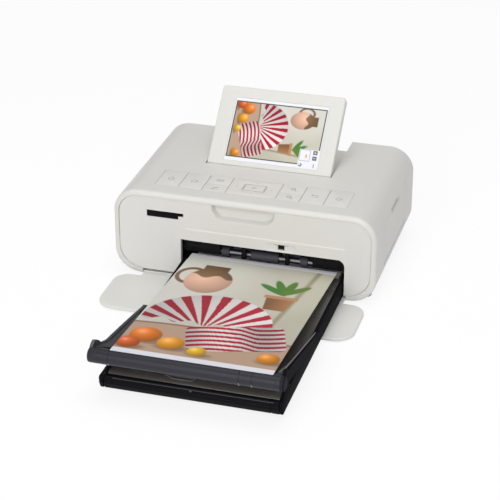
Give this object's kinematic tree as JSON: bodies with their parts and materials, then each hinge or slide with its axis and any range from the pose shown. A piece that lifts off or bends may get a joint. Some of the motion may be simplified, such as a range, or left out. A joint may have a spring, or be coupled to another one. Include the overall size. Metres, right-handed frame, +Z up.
{
  "type": "compact photo printer",
  "caption": "Compact dye-sublimation photo printer with a tilting screen, key row, fold-down front cover, ribbon door and a paper cassette holding a print.",
  "frame": {"origin": "middle of the whole object's plan, on the table under the feet", "axes": "+X to the right seen from the front, +Y from the paper cassette to the back cover, +Z up"},
  "size_m": [0.1806, 0.2782, 0.1045],
  "materials": {
    "warm_white_shell": "satin",
    "front_plastic": "satin",
    "black_plastic": "satin",
    "base_plastic": "matte",
    "foot_rubber": "matte",
    "steel": "satin",
    "display_glass": "gloss",
    "key_plastic": "satin",
    "circuit_board": "gloss",
    "chassis_sheet": "satin",
    "grey_plastic": "satin",
    "roller_rubber": "matte",
    "gear_plastic": "satin",
    "ribbon_dye": "gloss",
    "head_aluminium": "satin",
    "motor_can": "satin",
    "brass_gear": "satin",
    "smoke_plastic": "gloss",
    "slate_plastic": "satin",
    "blank_paper": "matte",
    "printed_paper": "gloss"
  },
  "bodies": {
    "casing": {"outer_case": "warm_white_shell", "front_panel": "front_plastic", "paper_mouth": "black_plastic", "base_plate": "base_plastic", "back_cover": "warm_white_shell", "rubber_feet": "foot_rubber", "case_screws": "steel", "screen_well": "warm_white_shell", "key_board": "circuit_board", "main_board": "circuit_board", "card_socket": "black_plastic", "host_socket": "black_plastic", "power_inlet": "black_plastic", "left_chassis": "chassis_sheet", "right_chassis": "chassis_sheet", "chassis_ties": "chassis_sheet", "paper_guides": "grey_plastic", "ribbon_case": "grey_plastic", "ribbon_film": "ribbon_dye", "drive_motor": "motor_can", "fan_housing": "black_plastic"},
    "screen": {"screen_frame": "front_plastic", "display_panel": "display_glass", "screen_back": "front_plastic", "screen_pins": "steel"},
    "cover": {"front_cover": "warm_white_shell"},
    "door": {"ribbon_door": "warm_white_shell"},
    "eject_roll": {"eject_shaft": "steel", "eject_rollers": "roller_rubber", "eject_gear": "gear_plastic"},
    "pick_roll": {"pick_shaft": "steel", "pick_rollers": "roller_rubber"},
    "idler": {"feed_idler": "gear_plastic"},
    "platen": {"platen_roller": "roller_rubber"},
    "capstan_roll": {"capstan": "steel"},
    "pinch": {"pinch_roller": "roller_rubber"},
    "takeup": {"takeup_gear": "gear_plastic", "takeup_spool": "ribbon_dye"},
    "supply": {"supply_spool": "ribbon_dye"},
    "head": {"head_arm": "steel", "thermal_head": "head_aluminium"},
    "pinion": {"motor_pinion": "brass_gear"},
    "fan": {"fan_rotor": "black_plastic"},
    "cassette": {"cassette_case": "black_plastic"},
    "lid": {"inner_lid": "smoke_plastic"},
    "tray": {"tray_frame": "slate_plastic"},
    "lift": {"lift_plate": "steel", "lift_spring": "steel", "paper_stack": "blank_paper"},
    "print": {"photo_print": "printed_paper"},
    "power_button": {"power_key": "key_plastic"},
    "home_button": {"home_key": "key_plastic"},
    "menu_button": {"menu_key": "key_plastic"},
    "edit_button": {"edit_key": "key_plastic"},
    "zoom_out_button": {"zoom_out_key": "key_plastic"},
    "zoom_in_button": {"zoom_in_key": "key_plastic"},
    "back_button": {"back_key": "key_plastic"},
    "print_button": {"print_key": "key_plastic"},
    "pad_button": {"four_way_pad": "key_plastic"},
    "ok_button": {"ok_key": "key_plastic"}
  },
  "joints": [
    {"name": "screen_tilt", "type": "hinge", "parent": "casing", "child": "screen", "pos_m": [0.0015, 0.079, 0.06], "axis": [1, 0, 0], "range_deg": [-45, 0]},
    {"name": "front_cover_fold", "type": "hinge", "parent": "casing", "child": "cover", "pos_m": [0, 0.0225, 0.0025], "axis": [-1, 0, 0], "range_deg": [0, 0.8]},
    {"name": "ribbon_door_swing", "type": "hinge", "parent": "casing", "child": "door", "pos_m": [0.0892, 0.08, 0.0199], "axis": [0, 1, 0], "range_deg": [0, 80]},
    {"name": "power_press", "type": "slide", "parent": "casing", "child": "power_button", "axis": [0, 0, -1], "range_m": [0, 0.0006], "stiffness_N_per_m": 900},
    {"name": "home_press", "type": "slide", "parent": "casing", "child": "home_button", "axis": [0, 0, -1], "range_m": [0, 0.0006], "stiffness_N_per_m": 900},
    {"name": "menu_press", "type": "slide", "parent": "casing", "child": "menu_button", "axis": [0, 0, -1], "range_m": [0, 0.0006], "stiffness_N_per_m": 900},
    {"name": "edit_press", "type": "slide", "parent": "casing", "child": "edit_button", "axis": [0, 0, -1], "range_m": [0, 0.0006], "stiffness_N_per_m": 900},
    {"name": "zoom_out_press", "type": "slide", "parent": "casing", "child": "zoom_out_button", "axis": [0, 0, -1], "range_m": [0, 0.0006], "stiffness_N_per_m": 900},
    {"name": "zoom_in_press", "type": "slide", "parent": "casing", "child": "zoom_in_button", "axis": [0, 0, -1], "range_m": [0, 0.0006], "stiffness_N_per_m": 900},
    {"name": "back_press", "type": "slide", "parent": "casing", "child": "back_button", "axis": [0, 0, -1], "range_m": [0, 0.0006], "stiffness_N_per_m": 900},
    {"name": "print_press", "type": "slide", "parent": "casing", "child": "print_button", "axis": [0, 0, -1], "range_m": [0, 0.0006], "stiffness_N_per_m": 900},
    {"name": "pad_press", "type": "slide", "parent": "casing", "child": "pad_button", "axis": [0, 0, -1], "range_m": [0, 0.0006], "stiffness_N_per_m": 1200},
    {"name": "ok_press", "type": "slide", "parent": "casing", "child": "ok_button", "axis": [0, 0, -1], "range_m": [0, 0.0006], "stiffness_N_per_m": 900},
    {"name": "takeup_spin", "type": "hinge", "parent": "casing", "child": "takeup", "pos_m": [0, 0.099, 0.036], "axis": [1, 0, 0], "continuous": true},
    {"name": "supply_spin", "type": "hinge", "parent": "casing", "child": "supply", "pos_m": [0, 0.061, 0.036], "axis": [1, 0, 0], "continuous": true},
    {"name": "platen_spin", "type": "hinge", "parent": "casing", "child": "platen", "pos_m": [0, 0.08009, 0.0122], "axis": [1, 0, 0], "continuous": true},
    {"name": "capstan_spin", "type": "hinge", "parent": "casing", "child": "capstan_roll", "pos_m": [0, 0.11775, 0.0152], "axis": [1, 0, 0], "continuous": true},
    {"name": "pinch_spin", "type": "hinge", "parent": "casing", "child": "pinch", "pos_m": [0, 0.11775, 0.0234], "axis": [1, 0, 0], "continuous": true},
    {"name": "idler_spin", "type": "hinge", "parent": "casing", "child": "idler", "pos_m": [0, 0.06238, 0.0215], "axis": [1, 0, 0], "continuous": true},
    {"name": "pick_spin", "type": "hinge", "parent": "casing", "child": "pick_roll", "pos_m": [0, 0.04238, 0.022], "axis": [1, 0, 0], "continuous": true},
    {"name": "eject_spin", "type": "hinge", "parent": "casing", "child": "eject_roll", "pos_m": [0, 0.0312, 0.0214], "axis": [1, 0, 0], "continuous": true},
    {"name": "pinion_spin", "type": "hinge", "parent": "casing", "child": "pinion", "pos_m": [0, 0.0721, 0.04], "axis": [1, 0, 0], "continuous": true},
    {"name": "fan_spin", "type": "hinge", "parent": "casing", "child": "fan", "pos_m": [-0.069, 0.126, 0.039], "axis": [0, 1, 0], "continuous": true},
    {"name": "head_lift", "type": "hinge", "parent": "casing", "child": "head", "pos_m": [0, 0.125, 0.0466], "axis": [-1, 0, 0], "range_deg": [0, 2]},
    {"name": "cassette_pull", "type": "slide", "parent": "casing", "child": "cassette", "axis": [0, -1, 0], "range_m": [0, 0.165]},
    {"name": "lid_slide", "type": "slide", "parent": "cassette", "child": "lid", "axis": [0, -1, 0], "range_m": [0, 0.06]},
    {"name": "tray_swing", "type": "hinge", "parent": "cassette", "child": "tray", "pos_m": [0, -0.133, 0.0282], "axis": [1, 0, 0], "range_deg": [0, 80]},
    {"name": "lift_press", "type": "slide", "parent": "cassette", "child": "lift", "axis": [0, 0, -1], "range_m": [0, 0.0015], "stiffness_N_per_m": 900, "springref_m": -0.002, "deforming": ["lift_spring"]},
    {"name": "print_pull", "type": "slide", "parent": "cassette", "child": "print", "axis": [0, -0.9958, 0.0919], "range_m": [0, 0.17]}
  ],
  "couplings": [
    {"joint": "platen_spin", "follows": "takeup_spin", "ratio": -3.2222},
    {"joint": "capstan_spin", "follows": "takeup_spin", "ratio": -4.8333},
    {"joint": "pinion_spin", "follows": "takeup_spin", "ratio": -5.8},
    {"joint": "idler_spin", "follows": "takeup_spin", "ratio": 1.8125},
    {"joint": "pick_spin", "follows": "takeup_spin", "ratio": -3.2222},
    {"joint": "eject_spin", "follows": "takeup_spin", "ratio": 5.8}
  ]
}
